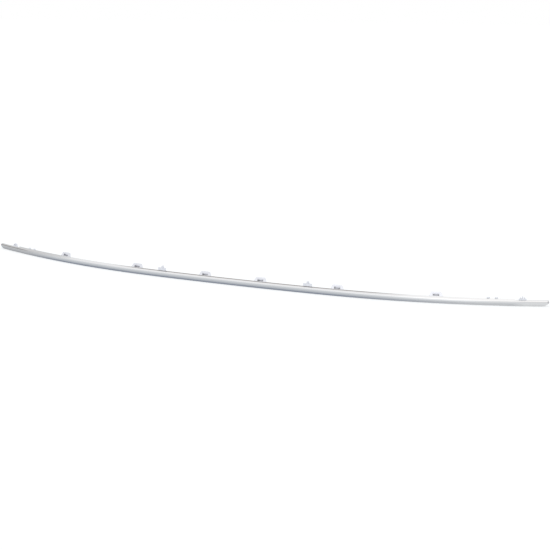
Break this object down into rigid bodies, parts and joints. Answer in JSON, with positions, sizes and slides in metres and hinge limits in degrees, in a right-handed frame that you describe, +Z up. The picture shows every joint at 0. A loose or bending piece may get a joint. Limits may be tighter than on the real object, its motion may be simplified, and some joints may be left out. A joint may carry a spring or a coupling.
{
  "type": "bumper trim strip",
  "caption": "Long chromed bumper trim moulding, swept back at both ends, with snap tabs and locating pins along its back edge.",
  "frame": {"origin": "midway between the tips and midway in depth, level with the underside of the lower lip", "axes": "+X along the strip towards its right tip, -Y the way the convex front faces, +Z up towards the tabs"},
  "size_m": [1.2998, 0.0992, 0.0231],
  "materials": {
    "chrome_plating": "polished"
  },
  "bodies": {
    "root": {"trim_strip": "chrome_plating"}
  },
  "joints": []
}
